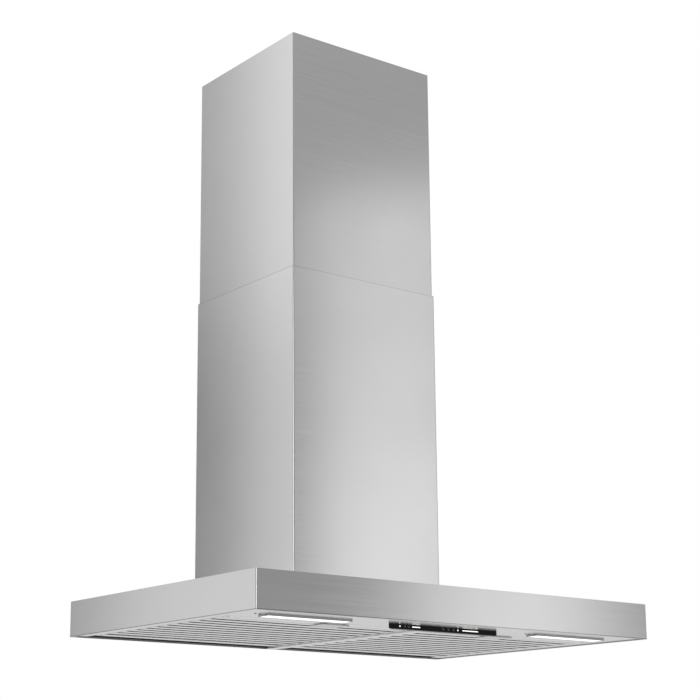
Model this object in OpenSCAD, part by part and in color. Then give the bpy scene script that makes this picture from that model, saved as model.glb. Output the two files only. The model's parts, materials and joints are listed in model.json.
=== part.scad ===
// Wall-mounted chimney range hood: shallow box canopy, telescoping flue covers, centrifugal
// blower, two baffle filters, two lamps and a control pod. Millimetres. X runs to the right,
// Y towards the wall, Z up. The origin is on the wall face, centred, level with the bottom rim.

/* [Canopy] */
// Width of the canopy
canopy_w = 750; // [750:1:900]
// Depth of the canopy, from the wall to the front face
canopy_d = 500; // [490:1:560]
// Height of the canopy's sides
canopy_h = 55; // [55:1:70]
// Sheet thickness of the canopy
canopy_t = 1.2; // [1:0.1:1.4]

/* [Flue covers] */
// Width of the lower flue cover
flue_w = 292; // [292:1:320]
// Depth of the lower flue cover
flue_d = 272; // [272:1:300]
// Height of the lower flue cover
lower_flue_h = 520; // [480:5:600]
// Length of the upper flue cover, hidden part included
upper_flue_h = 540; // [500:5:540]
// Height of the upper flue cover that shows above the lower one
upper_flue_shown = 396; // [200:1:440]
// Sheet thickness of both flue covers
flue_t = 1; // [0.8:0.1:1.2]
// Step from the lower cover's face to the upper cover's face
flue_step = 2; // [1.6:0.1:2.2]

/* [Filters] */
// Distance from one baffle slot to the next
slat_pitch = 28.4; // [26:0.1:28.4]
// Number of slot pitches along one filter
slat_count = 13; // [10:1:13]
// Width of one baffle slot
slot_w = 10; // [8:0.5:11]
// Thickness of a filter panel
filter_h = 10; // [10:0.5:12]

/* [Lamps and controls] */
// Length of one lamp
lamp_len = 145; // [120:1:160]
// Depth of one lamp, front to back
lamp_dep = 24; // [22:1:28]
// Distance from the centre line to a lamp's centre
lamp_x = 251.5; // [230:0.5:260]
// Length of the control pod
pod_len = 207; // [200:1:220]
// Depth of the control pod
pod_dep = 10; // [10:0.5:14]
// Distance that the control pod stands below the rim
pod_drop = 5.5; // [5.3:0.1:6.5]

/* [Blower] */
// Radius of the round duct collar
collar_r = 75; // [72:0.5:76]
// Length of the duct collar
collar_h = 48; // [40:1:60]
// Outer radius of the impeller
impeller_r = 80; // [76:1:82]
// Number of blades on each side of the impeller
blade_count = 28; // [20:2:32]

/* [Hidden] */
$fn = 48;

fit_gap = 0.05;                         // radial running clearance of pins, shafts and buttons
slip = 0.01;                            // radial gap between parts fixed on one shaft
edge_r = 2;                             // outside bend radius of the folded sheets

// Bottom panel: the sheet that closes the underside around the filters
hem_h = 7;                              // height of the folded hem inside the rim
panel_z = 1.5;                          // recess of the panel above the rim
panel_gap = 0.8;                        // groove between the hem and the panel
panel_flange_h = 13;                    // height of the panel's up-turned edges
panel_x = canopy_w / 2 - 2 * canopy_t - panel_gap;
panel_front = -canopy_d + 2 * canopy_t + panel_gap;
panel_back = -2 * canopy_t - panel_gap;
rail_x = 10;                            // half the width of the rail between the filters
rail_z = -0.6;                          // underside of that rail
side_margin = 24;                       // from the canopy's side to the filter opening

// Filters: two equal panels that swing down about pins at their rear edge
filter_gap = 1.5;                       // gap round a filter
filter_t = 1;                           // sheet thickness of the filter frames
baffle_t = 0.8;                         // sheet thickness of the baffles
baffle_lip = 5;                         // height of the baffles' turned edges
opening_x = canopy_w / 2 - side_margin;
filter_x0 = rail_x + filter_gap;
filter_x1 = opening_x - filter_gap;
latch_x = (filter_x0 + filter_x1) / 2 - 20; // centre of the latch, nearer to the centre line
filter_y1 = -34.5;
filter_rim = 3;                         // width of a filter's side rims
filter_front = slat_pitch - slot_w / 2; // width of its front rim
filter_rear = slat_pitch - slot_w;      // width of its rear rim
filter_y0 = filter_y1 - slat_pitch * slat_count + slot_w / 2;
filter_z = 1.5;
opening_y0 = filter_y0 - filter_gap;
opening_y1 = -9;                        // the gap behind the filters is part of the opening
hinge_y = filter_y1 - 3.5;
hinge_z = filter_z + filter_h / 2;
hinge_r = 2;

// Latch in each filter's front rim
latch_w = 52;                           // width of the sliding plate
latch_tab_w = 32;                       // width of the neck through the frame
latch_pull_w = 48;                      // width of the pull plate below the frame
latch_travel = 4.5;
latch_y0 = filter_y0 + 1.2;             // front edge of the sliding plate
latch_y1 = latch_y0 + 14.3;             // rear edge of the sliding plate
latch_z = filter_z + filter_t + 0.2;
latch_h = 2.5;
latch_seat_y = latch_y1 + 6.7;          // wall that the spring bears on
latch_guide_y = 19;                     // length of the guides at the plate's sides

// Lamps
lamp_y = -444;                          // centre line of the lamps
lamp_drop = 1.5;                        // how far the bezel stands below the rim
lamp_rim = 1.2;                         // width of the bezel round the lens
lamp_wall = 5;                          // from the bezel's edge to the cavity above the lens
lamp_lens_t = 1.7;
lamp_top = 13;

// Control pod
pod_front = -446.5;                     // front face of the pod
pod_plate_t = 3;                        // thickness of its front plate
pod_body_x = 94;                        // half the length of the body behind that plate
pod_wall = 2.5;
pod_top = 16;
pod_corner = 2;                         // radius of the front plate's corners
button_z = -1.3;
button_r = 1.9;
button_travel = 0.8;
button_x = [-76, -69, -3, 7, 17];
dot_x = [-85, 26];
bar_x = [[-62, -47], [35, 66]];
board_y = pod_front + 6;                // front face of the control board

// Blower box and wall plate
box_x = 122;                            // half the width of the box
box_y = -250;                           // front face of the box
box_h = 290;
box_z1 = canopy_h + box_h;
box_t = 1;
flange = 10;                            // width of the box's and flue's bottom flanges
plate_t = 2;
plate_x = 128;
hang_x = 100;                           // half the distance between the wall screws
hang_z = canopy_h + 245;
safety_z = canopy_h + 45;
hang_r = 4.5;
safety_r = 3.25;

// Scroll, motor and impeller, on one axis along X
axis_y = -128;
axis_z = canopy_h + 120;
scroll_x = 75;                          // half the width of the scroll
scroll_t = 1.5;
scroll_start = 60;                      // angle of the cut-off edge
scroll_turn = 240;                      // angle from there to the straight outlet wall
scroll_r0 = impeller_r + 8;
scroll_r1 = impeller_r + 30;
outlet_back = -60;
inlet_r = 60;
shaft_r = 4;
motor_r = 42;
motor_x0 = -94;
motor_x1 = -16;
blade_r0 = impeller_r - 13;

// Outlet collar and damper
collar_y = -149;
collar_t = 1.5;
gasket_t = 1.5;
collar_z0 = box_z1 + gasket_t;
flap_z = collar_z0 + 6;
flap_t = 1.2;
flap_pin_r = 1.5;
flap_root = 3.6;                        // distance from the pin to a flap's straight edge

// Flue covers
lower_top = canopy_h + lower_flue_h;
upper_top = lower_top + upper_flue_shown;
upper_bottom = upper_top - upper_flue_h;
upper_back = -1.5;                      // the upper cover clears the lower one's rear lips
flue_lip = 10;
bracket_z = [upper_top - 56, upper_top - 21];
bracket_x = 129;
bracket_hole_x = 80;

// Fasteners
screw_r = 2;
screw_hole_r = 2.15;
screw_head_r = 3.8;
screw_head_h = 2.2;

// ---------- shared shapes ----------

module slab(low, high) translate(low) cube(high - low);

module rod_x(r, x0, x1, y, z) translate([x0, y, z]) rotate([0, 90, 0]) cylinder(r = r, h = x1 - x0);

module rod_y(r, y0, y1, x, z) translate([x, y1, z]) rotate([90, 0, 0]) cylinder(r = r, h = y1 - y0);

module rod_z(r, z0, z1, x, y) translate([x, y, z0]) cylinder(r = r, h = z1 - z0);

// A prism whose outline is drawn in Y and Z and which runs along X
module prism_x(x0, x1, points) translate([x0, 0, 0]) rotate([90, 0, 90])
    linear_extrude(x1 - x0) polygon(points);

module both_sides() {
    children();
    mirror([1, 0, 0]) children();
}

function arc(centre, r, a0, a1, n) =
    [for (i = [0:n]) let (a = a0 + (a1 - a0) * i / n) centre + r * [cos(a), sin(a)]];

function unit(v) = v / norm(v);

// A route with each inner corner replaced by a curve that starts and ends d away from it
function rounded(p, d, n = 4) = concat([p[0]],
    [for (i = [1:len(p) - 2])
        let (a = p[i] + d * unit(p[i - 1] - p[i]), b = p[i] + d * unit(p[i + 1] - p[i]))
        for (k = [0:n]) let (t = k / n) (1 - t) * (1 - t) * a + 2 * t * (1 - t) * p[i] + t * t * b],
    [p[len(p) - 1]]);

function ring(centre, along, r, n) =
    let (u = unit(cross(along, [0.21, 0.13, 1])), w = cross(along, u))
    [for (k = [0:n - 1]) centre + r * (cos(360 * k / n) * u + sin(360 * k / n) * w)];

// A closed round tube that follows a route
module tube(path, r, n = 8) {
    last = len(path) - 1;
    rings = [for (i = [0:last])
        ring(path[i], unit(path[min(i + 1, last)] - path[max(i - 1, 0)]), r, n)];
    polyhedron(
        points = [for (one = rings) for (q = one) q],
        faces = concat(
            [[for (k = [0:n - 1]) k], [for (k = [n - 1:-1:0]) last * n + k]],
            [for (i = [0:last - 1]) for (k = [0:n - 1])
                [i * n + k, (i + 1) * n + k, (i + 1) * n + (k + 1) % n, i * n + (k + 1) % n]]));
}

// Pan-head screw that stands on z = 0 with its shank pointing down
module pan_screw(length) difference() {
    rotate_extrude() polygon(concat(
        [[0, -length], [screw_r - 0.4, -length], [screw_r, -length + 0.8], [screw_r, 0],
            [screw_head_r, 0]],
        arc([screw_head_r - 1.4, screw_head_h - 1.4], 1.4, 0, 90, 4),
        [[0, screw_head_h]]));
    for (a = [0, 90]) rotate(a) translate([-2, -0.4, 1]) cube([4, 0.8, 2]);
}

// ---------- canopy ----------

module canopy_shell() color("silver") difference() {
    union() {
        difference() {
            linear_extrude(canopy_h) polygon(concat(
                [[canopy_w / 2, 0], [-canopy_w / 2, 0]],
                arc([-canopy_w / 2 + edge_r, -canopy_d + edge_r], edge_r, 180, 270, 5),
                arc([canopy_w / 2 - edge_r, -canopy_d + edge_r], edge_r, 270, 360, 5)));
            slab([-canopy_w / 2 + canopy_t, -canopy_d + canopy_t, -1],
                [canopy_w / 2 - canopy_t, -canopy_t, canopy_h - canopy_t]);
        }
        difference() {
            slab([-canopy_w / 2 + canopy_t, -canopy_d + canopy_t, 0],
                [canopy_w / 2 - canopy_t, -canopy_t, hem_h]);
            slab([-canopy_w / 2 + 2 * canopy_t, -canopy_d + 2 * canopy_t, -1],
                [canopy_w / 2 - 2 * canopy_t, -2 * canopy_t, hem_h + 1]);
        }
    }
    slab([-box_x + 7, box_y + 14, canopy_h - 5], [box_x - 7, -18, canopy_h + 1]);
    for (p = concat(box_screw_points, flue_screw_points)) {
        rod_z(screw_hole_r, canopy_h - 5, canopy_h + 1, p[0], p[1]);
    }
}

// Flat sheet with an up-turned outer edge whose lip rests on the shell's walls
module bottom_panel() color("gainsboro") difference() {
    union() {
        slab([-panel_x, panel_front, panel_z], [panel_x, panel_back, panel_z + canopy_t]);
        difference() {
            slab([-panel_x, panel_front, panel_z], [panel_x, panel_back, panel_flange_h]);
            slab([-panel_x + canopy_t, panel_front + canopy_t, panel_z],
                [panel_x - canopy_t, panel_back - canopy_t, panel_flange_h + 1]);
        }
        difference() {
            slab([-canopy_w / 2 + canopy_t, -canopy_d + canopy_t, panel_flange_h - canopy_t],
                [canopy_w / 2 - canopy_t, -canopy_t, panel_flange_h]);
            slab([-panel_x + canopy_t, panel_front + canopy_t, panel_z],
                [panel_x - canopy_t, panel_back - canopy_t, panel_flange_h + 1]);
        }
        difference() {
            slab([-opening_x - canopy_t, opening_y0 - canopy_t, panel_z],
                [opening_x + canopy_t, opening_y1, panel_flange_h]);
            slab([-opening_x, opening_y0, panel_z - 1],
                [opening_x, opening_y1 + 1, panel_flange_h + 1]);
        }
    }
    slab([-opening_x, opening_y0, panel_z - 1], [opening_x, opening_y1, panel_z + 3]);
    both_sides() {
        slab([lamp_x - lamp_len / 2 + 3, lamp_y - lamp_dep / 2 + 3, panel_z - 1],
            [lamp_x + lamp_len / 2 - 3, lamp_y + lamp_dep / 2 - 3, panel_z + 3]);
        rod_x(hinge_r + fit_gap, opening_x - 1, opening_x + 3, hinge_y, hinge_z);
        slab([latch_x - 11, opening_y0 - 3, latch_z],
            [latch_x + 11, opening_y0 + 1, latch_z + latch_h + 0.4]);
    }
    slab([-pod_body_x + 1, pod_front + 1.2, panel_z - 1],
        [pod_body_x - 1, pod_front + pod_dep - 0.5, panel_z + 3]);
}

// Channel between the two filters, with a bore in each side for the filters' inner pins
module filter_center_rail() color("gainsboro") difference() {
    slab([-rail_x, opening_y0, rail_z], [rail_x, opening_y1, panel_flange_h]);
    slab([-rail_x + canopy_t, opening_y0 - 1, rail_z + canopy_t],
        [rail_x - canopy_t, opening_y1 + 1, panel_flange_h + 1]);
    rod_x(hinge_r + fit_gap, -rail_x - 1, rail_x + 1, hinge_y, hinge_z);
}

// ---------- lamps ----------

module lamp_bezel() difference() {
    union() {
        slab([lamp_x - lamp_len / 2, lamp_y - lamp_dep / 2, -lamp_drop],
            [lamp_x + lamp_len / 2, lamp_y + lamp_dep / 2, panel_z]);
        slab([lamp_x - lamp_len / 2 + 3.2, lamp_y - lamp_dep / 2 + 3.2, -lamp_drop],
            [lamp_x + lamp_len / 2 - 3.2, lamp_y + lamp_dep / 2 - 3.2, lamp_top]);
    }
    slab([lamp_x - lamp_len / 2 + lamp_rim, lamp_y - lamp_dep / 2 + lamp_rim, -lamp_drop - 1],
        [lamp_x + lamp_len / 2 - lamp_rim, lamp_y + lamp_dep / 2 - lamp_rim, lamp_lens_t - lamp_drop]);
    slab([lamp_x - lamp_len / 2 + lamp_wall, lamp_y - lamp_dep / 2 + lamp_wall, -lamp_drop],
        [lamp_x + lamp_len / 2 - lamp_wall, lamp_y + lamp_dep / 2 - lamp_wall, lamp_top - 2]);
    rod_z(2.5, lamp_top - 3, lamp_top + 1, lamp_x, lamp_y);
}

module lamp_lens() {
    inset = lamp_rim + 0.1;
    slab([lamp_x - lamp_len / 2 + inset, lamp_y - lamp_dep / 2 + inset, -lamp_drop + 0.1],
        [lamp_x + lamp_len / 2 - inset, lamp_y + lamp_dep / 2 - inset, lamp_lens_t - lamp_drop]);
}

module led_board() {
    inset = lamp_wall + 0.2;
    board_z = lamp_top - 2 - 1.6;
    slab([lamp_x - lamp_len / 2 + inset, lamp_y - lamp_dep / 2 + inset, board_z],
        [lamp_x + lamp_len / 2 - inset, lamp_y + lamp_dep / 2 - inset, board_z + 1.6]);
    for (i = [-5:5]) {
        slab([lamp_x + 11 * i - 1.5, lamp_y - 1.5, board_z - 0.8],
            [lamp_x + 11 * i + 1.5, lamp_y + 1.5, board_z]);
    }
}

module lamp_bezel_left() color("gainsboro") mirror([1, 0, 0]) lamp_bezel();

module lamp_bezel_right() color("gainsboro") lamp_bezel();

module lamp_lens_left() color("white") mirror([1, 0, 0]) lamp_lens();

module lamp_lens_right() color("white") lamp_lens();

module led_boards() color("lightyellow") both_sides() led_board();

driver_low = [-330, -110, canopy_h - canopy_t - 22];
driver_high = [-220, -65, canopy_h - canopy_t];

// Power supply of the lamps, fixed under the canopy's top
module led_driver() color("whitesmoke") {
    slab(driver_low, driver_high);
    for (x = [driver_low[0] - 10, driver_high[0]]) {
        slab([x, driver_low[1] + 12, driver_high[2] - 2], [x + 10, driver_high[1] - 12, driver_high[2]]);
    }
}

// ---------- control pod ----------

// Bar along Y whose outline in X and Z has rounded lower corners and stands on the panel
module pod_bar(x0, x1, z0, y0, y1) translate([0, y1, 0]) rotate([90, 0, 0])
    linear_extrude(y1 - y0) polygon(concat([[x1, panel_z], [x0, panel_z]],
        arc([x0 + pod_corner, z0 + pod_corner], pod_corner, 180, 270, 6),
        arc([x1 - pod_corner, z0 + pod_corner], pod_corner, 270, 360, 6)));

module control_pod() color("black") difference() {
    union() {
        pod_bar(-pod_len / 2, pod_len / 2, -pod_drop, pod_front, pod_front + pod_plate_t);
        pod_bar(-pod_body_x, pod_body_x, -pod_drop, pod_front + 1, pod_front + pod_dep);
        slab([-pod_body_x + 1.2, pod_front + 1.4, -1],
            [pod_body_x - 1.2, pod_front + pod_dep - 0.7, pod_top]);
    }
    slab([-pod_body_x + 2.7, pod_front + pod_wall, -pod_drop + 1.1],
        [pod_body_x - 2.7, pod_front + pod_dep - 2, pod_top + 1]);
    for (x = button_x) {
        rod_y(button_r + fit_gap, pod_front - 1, pod_front + pod_wall + 1, x, button_z);
    }
    for (x = dot_x) {
        rod_y(1.1 + slip, pod_front - 1, pod_front + pod_wall + 1, x, button_z);
    }
    for (x = bar_x) {
        slab([x[0] - slip, pod_front - 1, button_z - 0.7 - slip],
            [x[1] + slip, pod_front + pod_wall + 1, button_z + 0.7 + slip]);
    }
}

// Two status dots and two display bars that shine through the pod's front
module indicator_lights() color("white") {
    y1 = board_y - 0.2;
    for (x = dot_x) {
        rod_y(1.1, pod_front - 0.15, y1, x, button_z);
    }
    for (x = bar_x) {
        slab([x[0], pod_front - 0.15, button_z - 0.7], [x[1], y1, button_z + 0.7]);
    }
}

module control_board() color("darkgreen") {
    slab([-pod_body_x + 3, board_y, -pod_drop + 1.1],
        [pod_body_x - 3, board_y + 1.6, pod_top - 3]);
    slab([-70, board_y - 2 * wire_r, 4], [-50, board_y, 12]);
    slab([20, board_y - 1.6, 5], [34, board_y, 12]);
}

// One snap switch on the board behind each button
module dome_switches() color("gold") for (x = button_x) {
    rod_y(1.8, board_y - 1.2, board_y, x, button_z);
}

module button(i) {
    rod_y(button_r, pod_front - 0.6, pod_front + pod_wall + 0.5, button_x[i], button_z);
    rod_y(2.3, pod_front + pod_wall + 0.3, pod_front + pod_wall + 0.9, button_x[i], button_z);
    rod_y(1, pod_front + pod_wall + 0.8, board_y - 1.2 - button_travel - 0.2, button_x[i], button_z);
}

module button_1() color("dimgray") button(0);

module button_2() color("dimgray") button(1);

module button_3() color("dimgray") button(2);

module button_4() color("dimgray") button(3);

module button_5() color("dimgray") button(4);

// ---------- wall plate and blower box ----------

// Steel plate against the wall: two hanging holes, two safety-screw holes and a foot
module back_plate() color("lightgray") difference() {
    union() {
        slab([-plate_x, -plate_t, canopy_h], [plate_x, 0, box_z1 - 5]);
        slab([-plate_x + 16, -14, canopy_h], [plate_x - 16, 0, canopy_h + 1.5]);
    }
    for (x = [-hang_x, hang_x]) {
        rod_y(hang_r, -plate_t - 1, 1, x, hang_z);
        rod_y(safety_r, -plate_t - 1, 1, x, safety_z);
    }
    for (p = foot_screw_points) {
        rod_z(screw_hole_r, canopy_h - 1, canopy_h + 3, p[0], p[1]);
    }
    slab([-50, -plate_t - 1, canopy_h + 110], [50, 1, canopy_h + 180]);
}

module blower_box() color("lightgray") difference() {
    union() {
        slab([-box_x, box_y, canopy_h], [box_x, -plate_t, box_z1]);
        slab([-box_x - flange, box_y - flange, canopy_h], [box_x + flange, -16, canopy_h + box_t]);
    }
    slab([-box_x + box_t, box_y + box_t, canopy_h - 1], [box_x - box_t, -plate_t - box_t, box_z1 - box_t]);
    slab([-box_x + flange, -plate_t - box_t - 1, canopy_h - 1],
        [box_x - flange, 1, box_z1 - flange]);
    rod_z(collar_r - collar_t, box_z1 - 5, box_z1 + 5, 0, collar_y);
    for (p = box_screw_points) {
        rod_z(screw_hole_r, canopy_h - 1, canopy_h + 3, p[0], p[1]);
    }
    for (a = collar_screw_angles) {
        rod_z(screw_hole_r, box_z1 - 5, box_z1 + 5,
            collar_screw_r * cos(a), collar_y + collar_screw_r * sin(a));
    }
    rod_x(4, -box_x - 1, -box_x + 3, wire_y, canopy_h + 80);
}

foot_screw_points = [for (x = [-70, 70]) [x, -8]];
box_screw_points = concat(foot_screw_points,
    [for (s = [-1, 1]) for (y = [-220, -130, -40]) [s * (box_x + flange / 2), y]],
    [for (x = [-60, 60]) [x, box_y - flange / 2]]);
flue_screw_points = concat(
    [for (s = [-1, 1]) for (y = [-245, -175, -85]) [s * (flue_w / 2 - flue_t - 5), y]],
    [for (x = [-90, 90]) [x, -flue_d + flue_t + 4.5]]);
collar_screw_r = collar_r + 10;
collar_screw_angles = [45:90:315];
wire_y = -100;

// Identical screws of the box, the wall plate's foot and the collar
module blower_screws() color("silver") {
    for (p = box_screw_points) {
        is_foot = p[1] > -16;
        translate([p[0], p[1], canopy_h + (is_foot ? 1.5 : box_t)]) pan_screw(8);
    }
    for (a = collar_screw_angles) {
        translate([collar_screw_r * cos(a), collar_y + collar_screw_r * sin(a), collar_z0 + collar_t])
            pan_screw(7);
    }
}

// ---------- scroll, motor and impeller ----------

function scroll_radius(a) = scroll_r0 + (scroll_r1 - scroll_r0) * (scroll_start - a) / scroll_turn;

// Outline of the scroll in Y and Z: a spiral that opens into a straight outlet
function scroll_outline(grow, top) = concat(
    [for (a = [scroll_start:-12:scroll_start - scroll_turn])
        [axis_y, axis_z] + (scroll_radius(a) + grow) * [cos(a), sin(a)]],
    [[axis_y - scroll_r1 - grow, top], [outlet_back + grow, top]]);

module scroll_half() difference() {
    union() {
        prism_x(0, scroll_x, scroll_outline(0, box_z1 - box_t));
        for (y = [-225, -75]) {
            slab([scroll_x - 14, y - 6, box_z1 - box_t - 14], [scroll_x + 8, y + 6, box_z1 - box_t]);
        }
    }
    prism_x(-1, scroll_x - scroll_t, scroll_outline(-scroll_t, box_z1 + 5));
    rod_x(inlet_r + 2, scroll_x - 3, scroll_x + 1, axis_y, axis_z);
}

// Rounded lip that leads the air into the impeller
module inlet_lip() translate([scroll_x, axis_y, axis_z]) rotate([0, 90, 0]) rotate_extrude()
    polygon([[inlet_r, -10], [inlet_r + 1.5, -10], [inlet_r + 1.5, -4], [inlet_r + 3, -1.5],
        [inlet_r + 6, -1.5], [inlet_r + 6, 0], [inlet_r + 3, 0], [inlet_r + 0.6, -3]]);

module scroll_left() color("dimgray") mirror([1, 0, 0]) {
    scroll_half();
    inlet_lip();
}

module scroll_right() color("dimgray") {
    scroll_half();
    inlet_lip();
}

// Finger guard over the open inlet
module inlet_guard() color("silver") {
    for (r = [15:10:55]) {
        translate([scroll_x + 1, axis_y, axis_z]) rotate([0, 90, 0]) rotate_extrude()
            translate([r, 0]) square([2, 2.6]);
    }
    rod_x(7, scroll_x, scroll_x + 3.6, axis_y, axis_z);
    for (a = [0:60:300]) {
        translate([0, axis_y, axis_z]) rotate([a, 0, 0])
            slab([scroll_x, -1.5, 6], [scroll_x + 2, 1.5, 67]);
    }
}

module motor_can() color("darkgray") difference() {
    union() {
        difference() {
            rod_x(motor_r, motor_x0, motor_x1, axis_y, axis_z);
            rod_x(motor_r - 2, motor_x0 + 2, motor_x1 - 2, axis_y, axis_z);
        }
        rod_x(9, motor_x0, motor_x0 + 10, axis_y, axis_z);
        rod_x(9, motor_x1 - 10, motor_x1, axis_y, axis_z);
    }
    rod_x(shaft_r + fit_gap, motor_x0 - 1, motor_x1 + 1, axis_y, axis_z);
    for (a = [0:60:300]) {
        translate([0, axis_y, axis_z]) rotate([a, 0, 0])
            slab([motor_x0 - 1, -4, 16], [motor_x1 + 1, 4, 30]);
    }
}

stator_x = [-76, -34];

module motor_stator() color("peru") difference() {
    rod_x(motor_r - 2, stator_x[0], stator_x[1], axis_y, axis_z);
    rod_x(28, stator_x[0] - 1, stator_x[1] + 1, axis_y, axis_z);
}

module motor_rotor() color("gray") difference() {
    rod_x(27.5, stator_x[0] + 1, stator_x[1] - 1, axis_y, axis_z);
    rod_x(shaft_r + slip, stator_x[0] - 1, stator_x[1] + 1, axis_y, axis_z);
}

module motor_shaft() color("silver") rod_x(shaft_r, motor_x0 - 4, 24, axis_y, axis_z);

arm_angles = [30, 150, 270];
arm_screw_r = 77;

// Three arms from a band round the motor to the scroll's side
module motor_bracket() color("dimgray") difference() {
    union() {
        rod_x(motor_r + 3, -scroll_x - 10, -scroll_x - 1, axis_y, axis_z);
        for (a = arm_angles) {
            translate([0, axis_y, axis_z]) rotate([a, 0, 0])
                slab([-scroll_x - 4, -7, 20], [-scroll_x, 7, arm_screw_r + 7]);
        }
    }
    rod_x(motor_r, -scroll_x - 11, -scroll_x + 1, axis_y, axis_z);
    for (a = arm_angles) translate([0, axis_y, axis_z]) rotate([a, 0, 0]) {
        slab([-scroll_x - 1, -8, 20], [-scroll_x, 8, 66]);
        rod_x(screw_hole_r, -scroll_x - 5, -scroll_x + 1, 0, arm_screw_r);
    }
}

module motor_screws() color("silver") for (a = arm_angles) {
    translate([0, axis_y, axis_z]) rotate([a, 0, 0])
        translate([-scroll_x - 4, 0, arm_screw_r]) rotate([0, -90, 0]) pan_screw(3.9);
}

// Double-inlet wheel: centre plate on its hub, and the two rings that hold the blades' outer ends
module impeller() color("dimgray") difference() {
    union() {
        rod_x(impeller_r, -1, 1, axis_y, axis_z);
        rod_x(12, -9, 14, axis_y, axis_z);
        both_sides() difference() {
            rod_x(impeller_r, 59, 62, axis_y, axis_z);
            rod_x(blade_r0 - 1, 58, 63, axis_y, axis_z);
        }
    }
    rod_x(shaft_r + slip, -10, 15, axis_y, axis_z);
}

// Forward-curved blades on both sides, from the centre plate to each ring
module impeller_blades() color("dimgray") both_sides() translate([0, axis_y, axis_z])
    for (i = [0:blade_count - 1]) {
        rotate([360 * i / blade_count, 0, 0]) prism_x(1, 59, concat(
            arc([0, blade_r0 + 6.5], 6.5, -80, 80, 5),
            arc([0, blade_r0 + 6.5], 5.7, 80, -80, 5)));
    }

module impeller_nut() color("silver") difference() {
    translate([14, axis_y, axis_z]) rotate([0, 90, 0]) cylinder(r = 7.5, h = 6, $fn = 6);
    rod_x(shaft_r + slip, 13, 21, axis_y, axis_z);
}

// ---------- electrical parts ----------

cap_r = 15;
strap_t = 1;
cap_x = 96;
cap_y = box_y + box_t + strap_t + cap_r;
cap_z = canopy_h + 15;

module capacitor() color("whitesmoke") {
    rod_z(cap_r, cap_z, cap_z + 52, cap_x, cap_y);
    rod_z(cap_r - 3, cap_z + 52, cap_z + 54, cap_x, cap_y);
    for (x = [-5, 5]) {
        slab([cap_x + x - 1.5, cap_y - 0.4, cap_z + 54], [cap_x + x + 1.5, cap_y + 0.4, cap_z + 62]);
    }
}

module capacitor_strap() color("silver") difference() {
    union() {
        rod_z(cap_r + strap_t, cap_z + 20, cap_z + 30, cap_x, cap_y);
        slab([cap_x - cap_r - 8, box_y + box_t, cap_z + 20],
            [cap_x + cap_r + 8, box_y + box_t + strap_t, cap_z + 30]);
    }
    rod_z(cap_r, cap_z + 19, cap_z + 31, cap_x, cap_y);
}

term_x = [-box_x - 18, -box_x];
term_y = [-150, -70];
term_z = [canopy_h + 65, canopy_h + 165];

// Junction box on the blower box's side
module terminal_box() color("lightgray") difference() {
    slab([term_x[0] + 1, term_y[0], term_z[0]], [term_x[1], term_y[1], term_z[1]]);
    slab([term_x[0], term_y[0] + 1, term_z[0] + 1], [term_x[1] - 1, term_y[1] - 1, term_z[1] - 1]);
    rod_x(4, -box_x - 3, -box_x + 1, wire_y, canopy_h + 80);
    rod_z(7, term_z[1] - 3, term_z[1] + 1, -box_x - 9, -110);
}

module terminal_cover() color("silver") {
    slab([term_x[0], term_y[0], term_z[0]], [term_x[0] + 1, term_y[1], term_z[1]]);
    for (z = [term_z[0] + 20, term_z[1] - 20]) {
        translate([term_x[0], -110, z]) rotate([0, -90, 0]) cylinder(r1 = 3, r2 = 2.2, h = 1.2);
    }
}

// Round bushing that the supply cable would pass through
module cable_bushing() color("black") translate([-box_x - 9, -110, 0]) difference() {
    union() {
        rod_z(6.9, term_z[1] - 5, term_z[1], 0, 0);
        rod_z(7.8, term_z[1], term_z[1] + 5, 0, 0);
    }
    rod_z(5, term_z[1] - 6, term_z[1] + 6, 0, 0);
}

wire_r = 1.5;
wire_z = canopy_h - 9;
wire_gap = 1.7;                         // from wire_y to each of the two wires through the box's side
wire_in_z = canopy_h + 80;
connector_y = board_y - wire_r;
led_end_z = lamp_top - 2;
wire_routes = [
    [[-126, wire_y + wire_gap, wire_in_z], [-112, wire_y + wire_gap, wire_in_z],
        [-112, wire_y + wire_gap, wire_z], [-150, wire_y + wire_gap, wire_z],
        [-208, -88, wire_z], [driver_high[0], -88, wire_z]],
    [[-250, -110, wire_z], [-250, -200, wire_z], [-120, -360, wire_z], [-60, -420, 34],
        [-60, connector_y, 32], [-60, connector_y, 12]],
    [[-300, -110, wire_z], [-300, -300, wire_z], [-lamp_x, -410, 34], [-lamp_x, lamp_y, 32],
        [-lamp_x, lamp_y, led_end_z]],
    [[-270, -110, wire_z - 4], [-270, -140, wire_z - 4], [-240, -250, wire_z - 4],
        [0, -370, wire_z - 4], [200, -410, 36], [lamp_x, lamp_y, 32], [lamp_x, lamp_y, led_end_z]],
    [[-126, wire_y - wire_gap, wire_in_z], [-110, wire_y - wire_gap, wire_in_z],
        [-108, -124, canopy_h + 110], [-105, -124, canopy_h + 132], [motor_x0, -124, canopy_h + 132]],
    [[motor_x0, -132, canopy_h + 108], [-105, -132, canopy_h + 108], [-108, -160, canopy_h + 96],
        [-108, -243, canopy_h + 84], [76, -243, canopy_h + 84], [cap_x - 5, cap_y, cap_z + 82],
        [cap_x - 5, cap_y, cap_z + 62]]];

// Wires between the junction box, the power supply, the lamps, the pod and the motor
module wiring_harness() color("darkred") for (route = wire_routes) {
    tube(rounded(route, 8), wire_r);
}

// ---------- outlet collar and damper ----------

module ring_z(r0, r1, z0, z1) translate([0, collar_y, 0]) difference() {
    rod_z(r1, z0, z1, 0, 0);
    rod_z(r0, z0 - 1, z1 + 1, 0, 0);
}

module collar_gasket() color("black") difference() {
    ring_z(collar_r + 0.5, collar_r + 16, box_z1, collar_z0);
    for (a = collar_screw_angles) {
        rod_z(screw_hole_r, box_z1 - 1, collar_z0 + 1,
            collar_screw_r * cos(a), collar_y + collar_screw_r * sin(a));
    }
}

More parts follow.
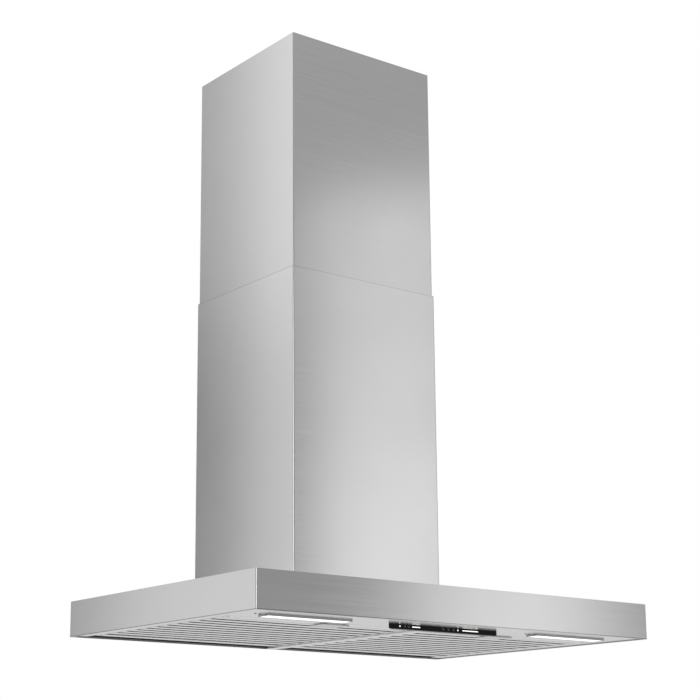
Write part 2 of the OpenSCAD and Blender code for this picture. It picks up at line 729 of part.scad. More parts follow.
module outlet_collar() color("dimgray") difference() {
    union() {
        ring_z(collar_r - collar_t, collar_r, collar_z0, collar_z0 + collar_h, $fn = 96);
        ring_z(collar_r - collar_t, collar_r + 16, collar_z0, collar_z0 + collar_t);
        ring_z(collar_r - 4, collar_r - 1, flap_z - 2.4, flap_z - 0.9);
    }
    for (a = collar_screw_angles) {
        rod_z(screw_hole_r, collar_z0 - 1, collar_z0 + 3,
            collar_screw_r * cos(a), collar_y + collar_screw_r * sin(a));
    }
    rod_x(flap_pin_r, -collar_r - 1, collar_r + 1, collar_y, flap_z);
}

module damper_pin() color("silver") rod_x(flap_pin_r, -collar_r, collar_r, collar_y, flap_z);

// Half-round flap on the +Y side of the pin, with knuckles at the given places
module damper_flap(knuckles) difference() {
    union() {
        intersection() {
            rod_z(collar_r - collar_t - 1, flap_z - flap_t / 2, flap_z + flap_t / 2, 0, collar_y);
            slab([-collar_r, collar_y + flap_root, flap_z - 2], [collar_r, collar_y + collar_r, flap_z + 2]);
        }
        for (x = knuckles) {
            slab([x[0], collar_y, flap_z - flap_t / 2],
                [x[1], collar_y + flap_root + 1, flap_z + flap_t / 2]);
            rod_x(3, x[0], x[1], collar_y, flap_z);
        }
    }
    for (x = knuckles) {
        rod_x(flap_pin_r + fit_gap, x[0] - 1, x[1] + 1, collar_y, flap_z);
    }
}

module damper_flap_rear() color("dimgray") damper_flap([[-36, -16], [16, 36]]);

module damper_flap_front() color("dimgray") translate([0, 2 * collar_y, 0]) mirror([0, 1, 0])
    damper_flap([[-60, -40], [40, 60]]);

// ---------- flue covers ----------

// Plan of a folded cover that is open at the wall side, with a lip along each rear edge
function cover_outline(w, d, back) = let (x = w / 2, t = flue_t, r = edge_r, q = edge_r - flue_t)
    concat(
        [[-x + flue_lip, back], [-x, back]],
        arc([-x + r, -d + r], r, 180, 270, 5),
        arc([x - r, -d + r], r, 270, 360, 5),
        [[x, back], [x - flue_lip, back], [x - flue_lip, back - t], [x - t, back - t]],
        arc([x - r, -d + r], q, 0, -90, 5),
        arc([-x + r, -d + r], q, 270, 180, 5),
        [[-x + t, back - t], [-x + flue_lip, back - t]]);

module lower_flue() color("silver") difference() {
    union() {
        translate([0, 0, canopy_h]) linear_extrude(lower_flue_h) polygon(cover_outline(flue_w, flue_d, 0));
        both_sides() slab([flue_w / 2 - flue_t - flange, -flue_d + flue_t, canopy_h],
            [flue_w / 2 - flue_t / 2, -40, canopy_h + flue_t]);
        slab([-flue_w / 2 + flue_t, -flue_d + flue_t / 2, canopy_h],
            [flue_w / 2 - flue_t, -flue_d + flue_t + flange - 1, canopy_h + flue_t]);
    }
    for (p = flue_screw_points) {
        rod_z(screw_hole_r, canopy_h - 1, canopy_h + 3, p[0], p[1]);
    }
}

module flue_screws() color("silver") for (p = flue_screw_points) {
    translate([p[0], p[1], canopy_h + flue_t]) pan_screw(6);
}

upper_x = flue_w / 2 - flue_step;
upper_front = -flue_d + flue_step;

module upper_flue() color("silver") translate([0, 0, upper_bottom]) linear_extrude(upper_flue_h)
    polygon(cover_outline(2 * upper_x, -upper_front, upper_back));

// Hat-shaped bracket that holds the top of the upper cover at the wall
module flue_bracket() color("lightgray") difference() {
    translate([0, 0, bracket_z[0]]) linear_extrude(bracket_z[1] - bracket_z[0]) {
        translate([-bracket_x, -1.2]) square([2 * bracket_x, 1.2]);
        for (side = [0, 1]) mirror([side, 0]) {
            translate([bracket_x - 1.2, -5.2]) square([1.2, 5.2]);
            translate([bracket_x - 1.2, -5.2]) square([upper_x - flue_t - bracket_x + 1.2, 1.2]);
            translate([upper_x - flue_t - 1.2, -50]) square([1.2, 46]);
        }
    }
    for (x = [-bracket_hole_x, bracket_hole_x]) {
        rod_y(safety_r, -3, 1, x, (bracket_z[0] + bracket_z[1]) / 2);
    }
    rod_x(screw_hole_r, -upper_x, upper_x, -36, (bracket_z[0] + bracket_z[1]) / 2);
}

// Set screws in the bracket's ears, whose tips bear on the cover from inside
module bracket_screws() color("silver") both_sides()
    translate([upper_x - flue_t - 1.2, -36, (bracket_z[0] + bracket_z[1]) / 2])
        rotate([0, -90, 0]) pan_screw(1.2);

// ---------- filters ----------

// Folded frame, hollow inside, with turned-up rims, hinge pins, latch opening, guides and seat
module filter_frame() {
    x0 = filter_x0;
    x1 = filter_x1;
    z0 = filter_z;
    z1 = filter_z + filter_h;
    t = filter_t;
    difference() {
        slab([x0, filter_y0, z0], [x1, filter_y1, z1]);
        slab([x0 + filter_rim, filter_y0 + filter_front, z0 - 1],
            [x1 - filter_rim, filter_y1 - filter_rear, z1 + 1]);
        slab([x0 + t, filter_y0 + t, z0 + t], [x1 - t, filter_y1 - t, z1 - t]);
        slab([latch_x - latch_tab_w / 2 - 1, latch_y0 + 2, z0 - 1],
            [latch_x + latch_tab_w / 2 + 1, latch_y1 + latch_travel, z0 + t + 1]);
        slab([latch_x - 10.3, filter_y0 - 1, latch_z - 0.1],
            [latch_x + 10.3, filter_y0 + t + 1, latch_z + latch_h + 0.2]);
    }
    rod_x(hinge_r, x0 - 3.6, x0 + t, hinge_y, hinge_z);
    rod_x(hinge_r, x1 - t, x1 + 3.6, hinge_y, hinge_z);
    for (y = [filter_y0 + filter_front - baffle_t, filter_y1 - filter_rear]) {
        slab([x0 + t, y, z0], [x1 - t, y + baffle_t, z0 + t + baffle_lip]);
    }
    slab([latch_x - 14, latch_seat_y, z0 + t],
        [latch_x + 14, latch_seat_y + 0.8, z1 - t - baffle_t]);
    translate([latch_x, 0, 0]) both_sides() {
        slab([latch_w / 2 + 0.3, latch_y0, z0 + t], [latch_w / 2 + 1.3, latch_y0 + latch_guide_y, z0 + 5]);
        slab([latch_w / 2 - 3, latch_y0, latch_z + latch_h + 0.2],
            [latch_w / 2 + 1.3, latch_y0 + latch_guide_y, z0 + 5]);
    }
}

// Channel strip along X between the frame's sides; lips is 1 upwards and -1 downwards
module baffle(y0, y1, face_z, lips) {
    x0 = filter_x0 + filter_t;
    x1 = filter_x1 - filter_t;
    z0 = lips > 0 ? face_z : face_z - baffle_lip;
    z1 = lips > 0 ? face_z + baffle_lip : face_z;
    difference() {
        slab([x0, y0, z0], [x1, y1, z1]);
        slab([x0 - 1, y0 + baffle_t, lips > 0 ? z0 + baffle_t : z0 - 1],
            [x1 + 1, y1 - baffle_t, lips > 0 ? z1 + 1 : z1 - baffle_t]);
    }
}

module lower_baffles() for (i = [1:slat_count - 2]) {
    baffle(filter_y0 + slat_pitch * i + slot_w / 2, filter_y0 + slat_pitch * (i + 1) - slot_w / 2,
        filter_z + filter_t, 1);
}

module upper_baffles() for (i = [1:slat_count - 1]) {
    middle = filter_y0 + slat_pitch * i;
    baffle(middle - slot_w / 2 - 3, middle + slot_w / 2 + 3, filter_z + filter_h - filter_t, -1);
}

// Sliding plate with a tongue towards the front and a pull plate below
module latch() {
    slab([latch_x - latch_w / 2, latch_y0, latch_z],
        [latch_x + latch_w / 2, latch_y1, latch_z + latch_h]);
    slab([latch_x - 10, latch_y0 - 2.5, latch_z + 0.2],
        [latch_x + 10, latch_y0 + 1, latch_z + latch_h - 0.1]);
    slab([latch_x - latch_tab_w / 2, latch_y0 + 3, filter_z - 2],
        [latch_x + latch_tab_w / 2, latch_y1 - 1.5, latch_z + 1]);
    slab([latch_x - latch_pull_w / 2, latch_y0 + 3, filter_z - 2],
        [latch_x + latch_pull_w / 2, latch_y1 + 20, filter_z - 0.6]);
}

spring_turns = 4;
spring_coil_r = 1;
spring_wire_r = 0.22;

module latch_spring() {
    y0 = latch_y1 + spring_wire_r;
    y1 = latch_seat_y - spring_wire_r;
    steps = 12 * spring_turns;
    tube([for (i = [0:steps]) let (a = 360 * spring_turns * i / steps)
        [latch_x + spring_coil_r * cos(a), y0 + (y1 - y0) * i / steps,
            latch_z + latch_h / 2 + spring_coil_r * sin(a)]], spring_wire_r, 6);
}

module filter_frame_left() color("silver") mirror([1, 0, 0]) filter_frame();

module filter_frame_right() color("silver") filter_frame();

module lower_baffles_left() color("gainsboro") mirror([1, 0, 0]) lower_baffles();

module lower_baffles_right() color("gainsboro") lower_baffles();

module upper_baffles_left() color("darkgray") mirror([1, 0, 0]) upper_baffles();

module upper_baffles_right() color("darkgray") upper_baffles();

module latch_left() color("white") mirror([1, 0, 0]) latch();

module latch_right() color("white") latch();

module latch_spring_left() color("gold") mirror([1, 0, 0]) latch_spring();

module latch_spring_right() color("gold") latch_spring();

canopy_shell();
bottom_panel();
filter_center_rail();
lamp_bezel_left();
lamp_bezel_right();
lamp_lens_left();
lamp_lens_right();
led_boards();
led_driver();
control_pod();
indicator_lights();
control_board();
dome_switches();
button_1();
button_2();
button_3();
button_4();
button_5();
back_plate();
blower_box();
blower_screws();
scroll_left();
scroll_right();
inlet_guard();
motor_can();
motor_stator();
motor_bracket();
motor_screws();
motor_shaft();
motor_rotor();
impeller();
impeller_blades();
impeller_nut();
capacitor();
capacitor_strap();
terminal_box();
terminal_cover();
cable_bushing();
wiring_harness();
collar_gasket();
outlet_collar();
damper_pin();
damper_flap_front();
damper_flap_rear();
lower_flue();
flue_screws();
upper_flue();
flue_bracket();
bracket_screws();
filter_frame_left();
filter_frame_right();
lower_baffles_left();
lower_baffles_right();
upper_baffles_left();
upper_baffles_right();
latch_left();
latch_right();
latch_spring_left();
latch_spring_right();
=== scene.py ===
import json
import math

import bmesh
import bpy
from mathutils import Euler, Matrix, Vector


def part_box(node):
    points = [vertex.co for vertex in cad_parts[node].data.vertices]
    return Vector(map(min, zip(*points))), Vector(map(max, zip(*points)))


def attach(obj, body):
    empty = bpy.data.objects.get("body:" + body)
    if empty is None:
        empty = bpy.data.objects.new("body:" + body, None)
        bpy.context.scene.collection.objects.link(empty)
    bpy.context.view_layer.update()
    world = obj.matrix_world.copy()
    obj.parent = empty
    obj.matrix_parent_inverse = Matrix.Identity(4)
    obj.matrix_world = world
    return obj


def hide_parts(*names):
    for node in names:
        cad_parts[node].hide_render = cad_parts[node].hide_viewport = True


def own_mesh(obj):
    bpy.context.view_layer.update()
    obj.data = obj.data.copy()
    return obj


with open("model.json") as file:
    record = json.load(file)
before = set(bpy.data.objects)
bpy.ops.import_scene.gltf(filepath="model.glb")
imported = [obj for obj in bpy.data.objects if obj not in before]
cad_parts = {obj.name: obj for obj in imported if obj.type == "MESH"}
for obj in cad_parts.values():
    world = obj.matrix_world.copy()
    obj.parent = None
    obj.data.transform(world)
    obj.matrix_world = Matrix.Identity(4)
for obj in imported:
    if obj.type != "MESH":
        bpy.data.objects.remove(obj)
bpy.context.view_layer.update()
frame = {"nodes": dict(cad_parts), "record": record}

SLOT_OF = {part["node"]: part["material_slot"] for part in frame["record"]["subparts"]}
BODY_OF = {node: body for body, nodes in frame["record"]["behaviour"]["bodies"].items() for node in nodes}
MM = 0.001


# ---------- material helpers ----------

class Shader:
    """A material under construction, with short calls for the nodes that the finishes share."""

    def __init__(self, name):
        self.material = bpy.data.materials.new(name)
        self.material.use_nodes = True
        self.tree = self.material.node_tree
        self.bsdf = self.tree.nodes["Principled BSDF"]
        self.place = self.tree.nodes.new("ShaderNodeTexCoord").outputs["Object"]

    def node(self, kind, **inputs):
        made = self.tree.nodes.new(kind)
        for key, value in inputs.items():
            socket = made.inputs[key.replace("_", " ")]
            if isinstance(value, bpy.types.NodeSocket):
                self.tree.links.new(value, socket)
            else:
                socket.default_value = value
        return made

    def set(self, **values):
        for key, value in values.items():
            self.bsdf.inputs[key.replace("_", " ")].default_value = value

    def link(self, socket, name):
        self.tree.links.new(socket, self.bsdf.inputs[name])

    def stretched(self, scale):
        """Object coordinates scaled by a different factor along each axis."""
        made = self.node("ShaderNodeMapping", Vector=self.place, Scale=scale)
        return made.outputs["Vector"]

    def noise(self, vector, scale, detail=2.0, roughness=0.5):
        made = self.node("ShaderNodeTexNoise", Vector=vector, Scale=scale, Detail=detail,
                         Roughness=roughness)
        return made.outputs["Fac"]

    def ramp(self, factor, stops):
        """Colour ramp over a factor; stops are (position, grey or colour)."""
        made = self.node("ShaderNodeValToRGB", Fac=factor)
        elements = made.color_ramp.elements
        while len(elements) < len(stops):
            elements.new(0.5)
        for element, (position, value) in zip(elements, stops):
            element.position = position
            element.color = (value, value, value, 1) if isinstance(value, float) else (*value, 1)
        return made.outputs["Color"]

    def math(self, operation, a, b):
        made = self.tree.nodes.new("ShaderNodeMath")
        made.operation = operation
        for socket, value in zip(made.inputs, (a, b)):
            if isinstance(value, bpy.types.NodeSocket):
                self.tree.links.new(value, socket)
            else:
                socket.default_value = value
        return made.outputs[0]

    def scaled(self, factor, low, high):
        """A 0 to 1 factor spread over low to high."""
        made = self.node("ShaderNodeMapRange", Value=factor)
        made.inputs["To Min"].default_value = low
        made.inputs["To Max"].default_value = high
        return made.outputs["Result"]

    def blend(self, factor, a, b):
        """Mix of two colours, each a socket or a tuple."""
        made = self.tree.nodes.new("ShaderNodeMix")
        made.data_type = "RGBA"
        for name, value in (("Factor", factor), ("A", a), ("B", b)):
            kind = "VALUE" if name == "Factor" else "RGBA"
            socket = next(s for s in made.inputs if s.name == name and s.type == kind)
            if isinstance(value, bpy.types.NodeSocket):
                self.tree.links.new(value, socket)
            else:
                socket.default_value = value if name == "Factor" else (*value, 1)
        return next(s for s in made.outputs if s.type == "RGBA")

    def bump(self, height, distance, strength=1.0):
        made = self.node("ShaderNodeBump", Height=height, Distance=distance, Strength=strength)
        return made.outputs["Normal"]


# How many grain lines a metre holds along X, Y and Z
FINE_GRAIN = (6.0, 1900.0, 1900.0)
BROAD_GRAIN = (2.5, 420.0, 420.0)
LAMP_GLOW = 0.9


def brushed_steel(name, tint, rough, grain=1.0, shade_band=None):
    """Stainless sheet with a grain along X and cloudier patches.

    The last argument, if given, is a band of painted shade: an axis, where it starts and ends on it in
    millimetres, and its shade.
    """
    s = Shader(name)
    lines = s.noise(s.stretched(FINE_GRAIN), 1.0, 3.0, 0.65)
    bands = s.noise(s.stretched(BROAD_GRAIN), 1.0, 2.0, 0.5)
    cloud = s.noise(s.place, 7.0, 3.0, 0.55)
    mixed = s.math("ADD", s.math("MULTIPLY", lines, 0.6), s.math("MULTIPLY", bands, 0.4))
    dark = tuple(c * (1 - 0.10 * grain) for c in tint)
    light = tuple(min(1.0, c * (1 + 0.06 * grain)) for c in tint)
    tone = s.blend(s.scaled(mixed, 0.1, 0.9), dark, light)
    # Painted shade: inside the band a flat grey takes the place of the steel's tone
    if shade_band:
        axis, low, high, shade = shade_band
        distance = s.node("ShaderNodeSeparateXYZ", Vector=s.place).outputs[axis]
        in_shade_band = s.math("MULTIPLY", s.math("GREATER_THAN", distance, low * MM),
                        s.math("LESS_THAN", distance, high * MM))
        tone = s.blend(in_shade_band, tone, (shade, shade, shade))
    s.link(tone, "Base Color")
    patch = s.scaled(cloud, -0.02, 0.03)
    s.link(s.math("ADD", s.scaled(mixed, rough - 0.05 * grain, rough + 0.06 * grain), patch), "Roughness")
    s.link(s.bump(mixed, 0.000012, 0.55 * grain), "Normal")
    s.set(Metallic=1.0)
    return s.material


def galvanised(name):
    """Zinc-coated sheet: large soft spangles of slightly different brightness."""
    s = Shader(name)
    cells = s.node("ShaderNodeTexVoronoi", Vector=s.place, Scale=95.0)
    shade = s.node("ShaderNodeSeparateColor", Color=cells.outputs["Color"]).outputs[0]
    fine = s.noise(s.place, 900.0, 3.0)
    tone = s.math("ADD", s.math("MULTIPLY", shade, 0.7), s.math("MULTIPLY", fine, 0.3))
    s.link(s.blend(tone, (0.40, 0.42, 0.43), (0.62, 0.64, 0.65)), "Base Color")
    s.link(s.scaled(tone, 0.32, 0.52), "Roughness")
    s.link(s.bump(tone, 0.00003, 0.5), "Normal")
    s.set(Metallic=0.9)
    return s.material


def moulded(name, tint, rough, grain=1.0, coat=0.0):
    """Moulded plastic with a spark-eroded texture and slow colour drift."""
    s = Shader(name)
    pits = s.noise(s.place, 2600.0, 2.0, 0.6)
    drift = s.noise(s.place, 22.0, 3.0)
    dark = tuple(c * 0.88 for c in tint)
    light = tuple(min(1.0, c * 1.12) for c in tint)
    s.link(s.blend(drift, dark, light), "Base Color")
    s.link(s.scaled(pits, rough - 0.07, rough + 0.08), "Roughness")
    s.link(s.bump(pits, 0.00002, 0.5 * grain), "Normal")
    s.set(Coat_Weight=coat)
    return s.material


def gloss_black(name):
    """Satin black cover with hairline scratches and a little dust."""
    s = Shader(name)
    hair = s.noise(s.stretched((60.0, 1600.0, 1600.0)), 1.0, 4.0, 0.7)
    dust = s.ramp(s.noise(s.place, 1500.0, 2.0, 0.6), [(0.68, 0.0), (0.78, 1.0)])
    s.link(s.blend(dust, (0.006, 0.006, 0.007), (0.03, 0.03, 0.03)), "Base Color")
    s.link(s.scaled(hair, 0.22, 0.34), "Roughness")
    s.link(s.bump(hair, 0.000003, 0.3), "Normal")
    s.set(Specular_IOR_Level=0.1)
    return s.material


def diffuser(name):
    """Frosted opal cover that is lit from behind."""
    s = Shader(name)
    frost = s.noise(s.place, 1800.0, 3.0)
    s.link(s.blend(frost, (0.90, 0.90, 0.89), (0.97, 0.97, 0.96)), "Base Color")
    s.link(s.scaled(frost, 0.30, 0.45), "Roughness")
    s.link(s.bump(frost, 0.00002, 0.4), "Normal")
    s.set(Emission_Color=(1.0, 0.985, 0.95, 1), Emission_Strength=LAMP_GLOW)
    return s.material


def circuit_board(name):
    """Green board: solder mask over copper tracks, with pale pads."""
    s = Shader(name)
    tracks = s.node("ShaderNodeTexBrick", Vector=s.place, Scale=160.0)
    tracks.inputs["Mortar Size"].default_value = 0.06
    edge = tracks.outputs["Fac"]
    weave = s.noise(s.place, 1200.0, 2.0)
    mask = s.blend(weave, (0.010, 0.085, 0.035), (0.020, 0.13, 0.055))
    s.link(s.blend(edge, mask, (0.05, 0.24, 0.10)), "Base Color")
    s.link(s.scaled(weave, 0.25, 0.4), "Roughness")
    s.link(s.bump(edge, 0.00002, 0.6), "Normal")
    return s.material


def zinc_plated(name):
    """Bright zinc with a faint yellow passivation."""
    s = Shader(name)
    patch = s.noise(s.place, 140.0, 3.0)
    fine = s.noise(s.place, 1700.0, 2.0)
    s.link(s.blend(patch, (0.56, 0.57, 0.58), (0.68, 0.66, 0.60)), "Base Color")
    s.link(s.scaled(fine, 0.22, 0.38), "Roughness")
    s.link(s.bump(fine, 0.00001, 0.4), "Normal")
    s.set(Metallic=1.0)
    return s.material


def laminations(name):
    """Edges of thin stacked steel sheets under brown varnish."""
    s = Shader(name)
    wave = s.node("ShaderNodeTexWave", Vector=s.place, Scale=320.0, Distortion=0.4)
    stack = wave.outputs["Fac"]
    s.link(s.blend(stack, (0.10, 0.055, 0.03), (0.30, 0.20, 0.13)), "Base Color")
    s.link(s.scaled(stack, 0.55, 0.35), "Roughness")
    s.link(s.bump(stack, 0.00015, 0.7), "Normal")
    s.set(Metallic=0.55)
    return s.material


def rubber(name, tint):
    """Rubber or wire insulation with a dry bloom."""
    s = Shader(name)
    bloom = s.noise(s.place, 300.0, 4.0, 0.6)
    s.link(s.blend(bloom, tuple(c * 0.8 for c in tint), tuple(c * 1.4 for c in tint)), "Base Color")
    s.link(s.scaled(bloom, 0.6, 0.85), "Roughness")
    s.link(s.bump(bloom, 0.00004, 0.4), "Normal")
    return s.material


RIM_SHADOW_LINE = ("Z", 0.4, 1.5, 0.3)          # a painted shadow: a dark line just above the canopy's bottom edge
PANEL_REAR_SHADE = ("Y", -13.0, 5.0, 0.12)     # painted shade: a dark band on the panel's rear edge, behind the filters

FINISHES = {
    # The canopy's and the panel's steel carry the painted shade bands above
    "canopy_steel": lambda name: brushed_steel(name, (0.62, 0.62, 0.62), 0.22, 1.5, RIM_SHADOW_LINE),
    "panel_steel": lambda name: brushed_steel(name, (0.74, 0.74, 0.735), 0.26, shade_band=PANEL_REAR_SHADE),
    "flue_steel": lambda name: brushed_steel(name, (0.62, 0.62, 0.62), 0.18, 1.5),
    "filter_steel": lambda name: brushed_steel(name, (0.80, 0.80, 0.80), 0.28, 0.8),
    "latch_steel": lambda name: brushed_steel(name, (0.47, 0.47, 0.47), 0.2, 0.5),
    "lamp_bezel": lambda name: brushed_steel(name, (0.36, 0.36, 0.37), 0.24, 0.6),
    "lamp_lens": diffuser,
    "pod_black": gloss_black,
    "button_black": lambda name: moulded(name, (0.025, 0.025, 0.027), 0.28, 0.6, 0.3),
    "circuit_board": circuit_board,
    "galvanised_steel": galvanised,
    "blower_plastic": lambda name: moulded(name, (0.045, 0.046, 0.05), 0.45),
    "zinc_hardware": zinc_plated,
    "motor_core": laminations,
    "white_plastic": lambda name: moulded(name, (0.80, 0.80, 0.78), 0.42),
    "spring_steel": lambda name: brushed_steel(name, (0.55, 0.52, 0.46), 0.2, 0.4),
    "rubber_black": lambda name: rubber(name, (0.022, 0.022, 0.022)),
    "wire_insulation": lambda name: rubber(name, (0.16, 0.03, 0.025)),
}
MATERIALS = {slot: make(f"{slot}_finish") for slot, make in FINISHES.items()}

# Painted shade: the lower baffles' steel is a little darker than the frames', and nearly black above their
# faces, so that the slots look dark
BAFFLE_SLOT_SHADE = ("Z", 2.56, 8.0, 0.02)
BAFFLE_SHADED_STEEL = brushed_steel("lower_baffle_shaded_steel", (0.76, 0.76, 0.76), 0.28, 0.8, BAFFLE_SLOT_SHADE)

# Painted shade: a thin darker line along the lower cover's top edge, where no fold is modelled
STEP_SHADE_LINE = ("Z", 573.4, 575.5, 0.52)
LOWER_FLUE_SHADED_STEEL = brushed_steel("lower_flue_shaded_steel", (0.63, 0.63, 0.63), 0.18, 1.5, STEP_SHADE_LINE)
# Nodes with a material of their own, which carries painted shade
OWN_SHADED_MATERIAL = {"lower_baffles_left": BAFFLE_SHADED_STEEL, "lower_baffles_right": BAFFLE_SHADED_STEEL,
              "lower_flue": LOWER_FLUE_SHADED_STEEL}


# ---------- CAD nodes: finishes and softened edges ----------

# Bevel widths in millimetres: sheet metal breaks its edges less than a moulding does
BEVELS = {"canopy_shell": 0.35, "lower_flue": 0.25, "upper_flue": 0.25, "bottom_panel": 0.3,
          "control_pod": 0.3, "wiring_harness": 0.0, "latch_spring_left": 0.0, "latch_spring_right": 0.0}
BEVEL_DEFAULT = 0.2


def dress(name, obj):
    """Gives a CAD node its slot's finish, or its own material with painted shade, and a small bevel on each
    sharp edge.
    """
    for slot in obj.material_slots:
        slot.material = OWN_SHADED_MATERIAL.get(name, MATERIALS[SLOT_OF[name]])
    width = BEVELS.get(name, BEVEL_DEFAULT)
    if width:
        weld = obj.modifiers.new("weld", "WELD")
        weld.merge_threshold = 0.002 * MM
        bevel = obj.modifiers.new("bevel", "BEVEL")
        bevel.width = width * MM
        bevel.segments = 2
        bevel.limit_method = "ANGLE"
        bevel.angle_limit = math.radians(40)
        bevel.harden_normals = False
        bevel.use_clamp_overlap = True


for node_name, node_object in frame["nodes"].items():
    dress(node_name, node_object)


# ---------- pieces that the CAD leaves plain ----------

def piece(name, build, slot, body):
    """A closed mesh that build() fills in, finished as that slot and moving with that body."""
    mesh = bpy.data.meshes.new(name)
    b = bmesh.new()
    build(b)
    bmesh.ops.recalc_face_normals(b, faces=b.faces)
    b.to_mesh(mesh)
    b.free()
    mesh.materials.append(MATERIALS[slot])
    made = bpy.data.objects.new(name, mesh)
    bpy.context.scene.collection.objects.link(made)
    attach(made, body)
    return made


def join_rings(b, rings):
    """Side faces between each ring of points and the next."""
    for first, second in zip(rings, rings[1:]):
        for k in range(len(first)):
            after = (k + 1) % len(first)
            b.faces.new((first[k], first[after], second[after], second[k]))


def sweep(b, points, radius, sides=10):
    """A closed round tube along a list of points."""
    side = Vector((1, 0, 0))
    rings = []
    for i, point in enumerate(points):
        along = (points[min(i + 1, len(points) - 1)] - points[max(i - 1, 0)]).normalized()
        side = (side - along * side.dot(along)).normalized()
        other = along.cross(side)
        ring = []
        for k in range(sides):
            turn = 2 * math.pi * k / sides
            ring.append(b.verts.new(point + radius * (side * math.cos(turn) + other * math.sin(turn))))
        rings.append(ring)
    join_rings(b, rings)
    b.faces.new(rings[0])
    b.faces.new(rings[-1])


def head(b, x, y, z, radius, height, steps=5, sides=20):
    """A low domed head that hangs below height z."""
    rings = []
    for i in range(steps + 1):
        rise = 0.5 * math.pi * i / (steps + 1)
        reach = radius * math.cos(rise)
        ring = []
        for k in range(sides):
            turn = 2 * math.pi * k / sides
            place = (x + reach * math.cos(turn), y + reach * math.sin(turn), z - height * math.sin(rise))
            ring.append(b.verts.new(place))
        rings.append(ring)
    tip = b.verts.new((x, y, z - height))
    join_rings(b, rings)
    for k in range(sides):
        b.faces.new((rings[-1][k], rings[-1][(k + 1) % sides], tip))
    b.faces.new(rings[0])


SPRING_TURNS = 5
SPRING_STEPS = 24                # points of its centre line for each turn
SPRING_WIRE = 0.22 * MM          # radius of its wire


def latch_spring(side):
    """A wire coil in place of the CAD one, which moves with that one's body."""
    node = f"latch_spring_{side}"
    low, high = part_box(node)
    centre = (low + high) / 2
    radius = (high.x - low.x) / 2 - SPRING_WIRE
    length = high.y - low.y - 2 * SPRING_WIRE
    steps = SPRING_STEPS * SPRING_TURNS
    points = []
    for i in range(steps + 1):
        a = 2 * math.pi * SPRING_TURNS * i / steps
        y = low.y + SPRING_WIRE + length * i / steps
        points.append(Vector((centre.x + radius * math.cos(a), y, centre.z + radius * math.sin(a))))
    made = piece(f"{side}_latch_coil", lambda b: sweep(b, points, SPRING_WIRE), SLOT_OF[node], BODY_OF[node])
    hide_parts(node)
    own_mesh(made)


SUNK = 0.02 * MM                 # how far a rivet or screw head reaches into the sheet that it lies on
RIVET_INSET = 9 * MM             # from a filter's corner to its rivet
RIVET_RADIUS = 2.4 * MM
RIVET_HEIGHT = 0.9 * MM


def filter_rivets(side):
    """Four pop rivets that hold a filter's frame together at its corners."""
    node = f"filter_frame_{side}"
    low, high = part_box(node)
    underside = low.z + SUNK

    def build(b):
        for x in (low.x + RIVET_INSET, high.x - RIVET_INSET):
            for y in (low.y + RIVET_INSET, high.y - RIVET_INSET):
                head(b, x, y, underside, RIVET_RADIUS, RIVET_HEIGHT)

    piece(f"{side}_filter_rivets", build, "zinc_hardware", BODY_OF[node])


LAMP_SCREW_RADIUS = 1.9 * MM
LAMP_SCREW_HEIGHT = 0.8 * MM
LAMP_SCREW_STEPS = (5 * MM, 13 * MM)     # from the lamp's left end to its two screws


def lamp_screws(side):
    """Two small dark screws beside a lamp's left end."""
    low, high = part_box(f"lamp_bezel_{side}")
    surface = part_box("bottom_panel")[0].z + SUNK
    middle = (low.y + high.y) / 2

    def build(b):
        for step in LAMP_SCREW_STEPS:
            head(b, low.x - step, middle, surface, LAMP_SCREW_RADIUS, LAMP_SCREW_HEIGHT)

    piece(f"{side}_lamp_screws", build, "button_black", "hood")


for side_name in ("left", "right"):
    latch_spring(side_name)
    filter_rivets(side_name)
    lamp_screws(side_name)


# ---------- camera, light and stage ----------

CAMERA_PLACE = (-1.6454, -2.3051, -0.2370)
CAMERA_PITCH = 12.45             # degrees above the horizon
CAMERA_TURN = -36.12             # degrees from straight ahead, to the right


def make_camera():
    """A long lens, low and to the left of the front, that looks up at the hood."""
    data = bpy.data.cameras.new("camera")
    data.lens = 86.52
    data.shift_x = 0.0927
    data.shift_y = 0.104
    data.clip_end = 60
    camera = bpy.data.objects.new("camera", data)
    bpy.context.scene.collection.objects.link(camera)
    camera.location = CAMERA_PLACE
    camera.rotation_euler = Euler((math.radians(90 + CAMERA_PITCH), 0, math.radians(CAMERA_TURN)))
    bpy.context.scene.camera = camera


def softbox(name, centre, target, width, height, radiance):
    """A rectangular studio light that faces a target."""
    data = bpy.data.lights.new(name, "AREA")
    data.shape = "RECTANGLE"
    data.size, data.size_y = width, height
    data.energy = radiance * math.pi * width * height
    light = bpy.data.objects.new(name, data)
    bpy.context.scene.collection.objects.link(light)
    light.location = centre
    light.rotation_euler = (Vector(target) - Vector(centre)).to_track_quat("-Z", "Y").to_euler()


# Brightness of the room from straight down, at 0, past the horizon, at 0.5, to straight up, at 1
ROOM_LIGHT = ((0.0, 0.64), (0.475, 0.77), (0.505, 0.58), (0.54, 0.325), (0.625, 0.27), (0.65, 0.52),
              (0.72, 0.50), (0.86, 1.2), (1.0, 1.3))


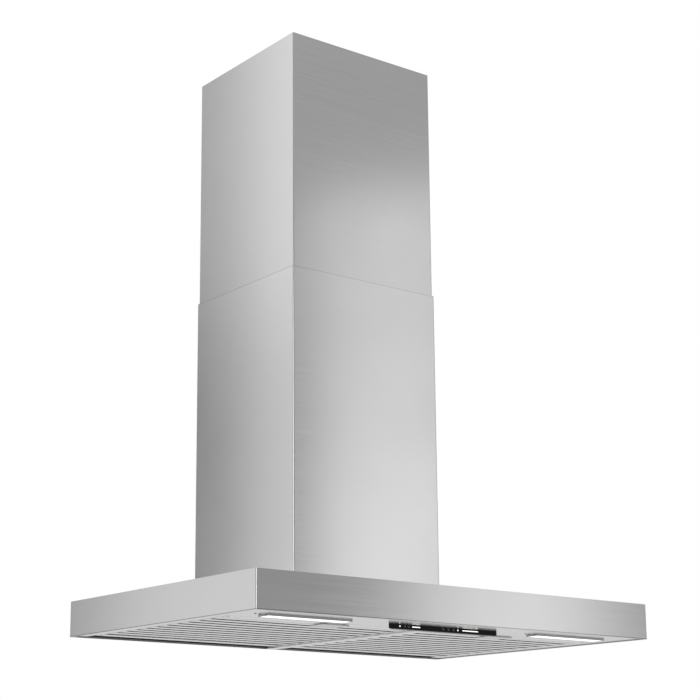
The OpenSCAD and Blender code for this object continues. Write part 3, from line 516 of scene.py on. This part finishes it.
def make_world():
    """White backdrop, and a softer grey room around it for the reflections."""
    world = bpy.data.worlds.new("studio")
    bpy.context.scene.world = world
    world.use_nodes = True
    tree = world.node_tree
    tree.nodes.clear()
    output = tree.nodes.new("ShaderNodeOutputWorld")
    direction = tree.nodes.new("ShaderNodeTexCoord").outputs["Generated"]
    split = tree.nodes.new("ShaderNodeSeparateXYZ")
    tree.links.new(direction, split.inputs[0])
    ramp = tree.nodes.new("ShaderNodeValToRGB")
    spread = tree.nodes.new("ShaderNodeMapRange")
    spread.inputs["From Min"].default_value = -1
    spread.inputs["From Max"].default_value = 1
    tree.links.new(split.outputs["Z"], spread.inputs["Value"])
    tree.links.new(spread.outputs["Result"], ramp.inputs["Fac"])
    elements = ramp.color_ramp.elements
    while len(elements) < len(ROOM_LIGHT):
        elements.new(0.5)
    for element, (position, value) in zip(elements, ROOM_LIGHT):
        element.position = position
        element.color = (value, value, value, 1)
    room = tree.nodes.new("ShaderNodeBackground")
    tree.links.new(ramp.outputs["Color"], room.inputs["Color"])
    white = tree.nodes.new("ShaderNodeBackground")
    white.inputs["Color"].default_value = (1, 1, 1, 1)
    rays = tree.nodes.new("ShaderNodeLightPath")
    choose = tree.nodes.new("ShaderNodeMixShader")
    tree.links.new(rays.outputs["Is Camera Ray"], choose.inputs["Fac"])
    tree.links.new(room.outputs[0], choose.inputs[1])
    tree.links.new(white.outputs[0], choose.inputs[2])
    tree.links.new(choose.outputs[0], output.inputs["Surface"])


make_camera()
make_world()

# A tall strip light to the right of the front, dimmer towards its top
STRIP_PLACE = (1.508, -1.999)
STRIP_TARGET = (-0.10, -0.084)
STRIP_WIDTH = 0.5
STRIP_STRETCHES = ((-0.26, 0.75, 0.97), (0.75, 1.1, 0.80), (1.1, 1.585, 0.61))   # bottom, top, radiance
for number, (bottom, top, radiance) in enumerate(STRIP_STRETCHES, 1):
    middle = (bottom + top) / 2
    softbox(f"softbox_front_{number}", (*STRIP_PLACE, middle), (*STRIP_TARGET, middle),
            STRIP_WIDTH, top - bottom, radiance)

softbox("softbox_left", (-1.77, 1.39, 1.15), (-0.52, -0.37, 1.15), 0.92, 2.7, 0.70)
# Gives the rounded edge between the front and the left a thin bright line
softbox("softbox_edge", (-2.9, -2.0, 0.3), (-0.4, -0.4, 0.3), 0.9, 2.4, 2.5)
bpy.context.scene.view_settings.view_transform = "Standard"
